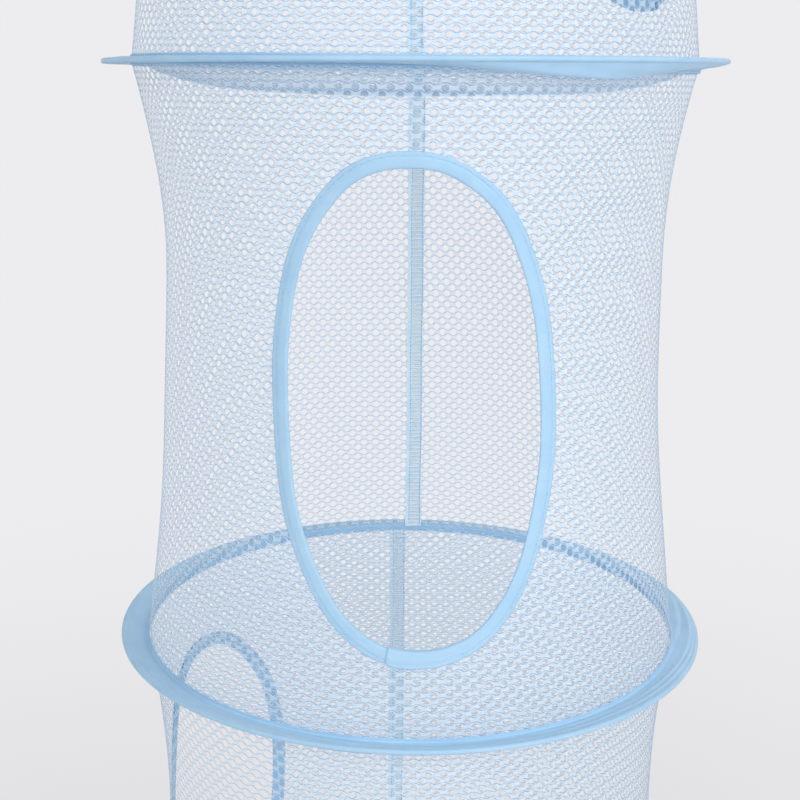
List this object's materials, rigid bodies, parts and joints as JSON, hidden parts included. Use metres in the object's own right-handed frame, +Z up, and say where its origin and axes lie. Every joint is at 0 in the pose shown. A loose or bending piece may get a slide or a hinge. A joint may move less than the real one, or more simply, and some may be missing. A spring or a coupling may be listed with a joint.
{
  "type": "hanging storage basket",
  "caption": "Collapsible hanging mesh organiser: waisted net tiers with oval tape-bound openings between sleeved steel hoops, hung by crossed straps from a steel ring.",
  "frame": {"origin": "inside top of the hanging ring's bow, where the hook bears", "axes": "+Z up along the axis of the hoops, -Y the side that the middle tier's opening faces, +X to the right seen from there"},
  "size_m": [0.3, 0.3, 1.1117],
  "materials": {
    "net": "pale blue warp-knit polyester mesh",
    "tape": "light blue smooth woven polyester",
    "seam": "light blue lapped mesh with two rows of stitching",
    "webbing": "light blue narrow polyester webbing",
    "hoop_steel": "drawn spring steel wire",
    "ring_steel": "nickel-plated steel wire"
  },
  "bodies": {
    "hanging_ring": {"hanging_ring": "ring_steel"},
    "strap_head": {"hang_tab": "webbing", "side_strap": "webbing", "front_strap": "webbing"},
    "top_ring": {"top_hoop": "hoop_steel", "top_sleeve": "tape", "top_tier_wall": "net", "top_tier_opening_binding": "tape", "top_tier_back_seam": "seam"},
    "second_ring": {"second_hoop": "hoop_steel", "second_sleeve": "tape", "top_tier_floor": "net", "middle_tier_wall": "net", "middle_tier_opening_binding": "tape", "middle_tier_back_seam": "seam"},
    "third_ring": {"third_hoop": "hoop_steel", "third_sleeve": "tape", "middle_tier_floor": "net", "bottom_tier_wall": "net", "bottom_tier_opening_binding": "tape", "bottom_tier_back_seam": "seam"},
    "bottom_ring": {"bottom_hoop": "hoop_steel", "bottom_sleeve": "tape", "bottom_tier_floor": "net"}
  },
  "joints": [
    {"name": "hanging_ring_pivot", "type": "hinge", "parent": "hanging_ring", "child": "strap_head", "pos_m": [0, 0, -0.023], "axis": [1, 0, 0], "range_deg": [-75, 75]},
    {"name": "hanger_fold", "type": "slide", "parent": "strap_head", "child": "top_ring", "axis": [0, 0, 1], "range_m": [0, 0.165], "deforming": ["side_strap", "front_strap"]},
    {"name": "top_tier_fold", "type": "slide", "parent": "top_ring", "child": "second_ring", "axis": [0, 0, 1], "range_m": [0, 0.265], "deforming": ["top_tier_wall", "top_tier_opening_binding", "top_tier_back_seam"]},
    {"name": "middle_tier_fold", "type": "slide", "parent": "second_ring", "child": "third_ring", "axis": [0, 0, 1], "range_m": [0, 0.265], "deforming": ["middle_tier_wall", "middle_tier_opening_binding", "middle_tier_back_seam"]},
    {"name": "bottom_tier_fold", "type": "slide", "parent": "third_ring", "child": "bottom_ring", "axis": [0, 0, 1], "range_m": [0, 0.265], "deforming": ["bottom_tier_wall", "bottom_tier_opening_binding", "bottom_tier_back_seam"]}
  ]
}
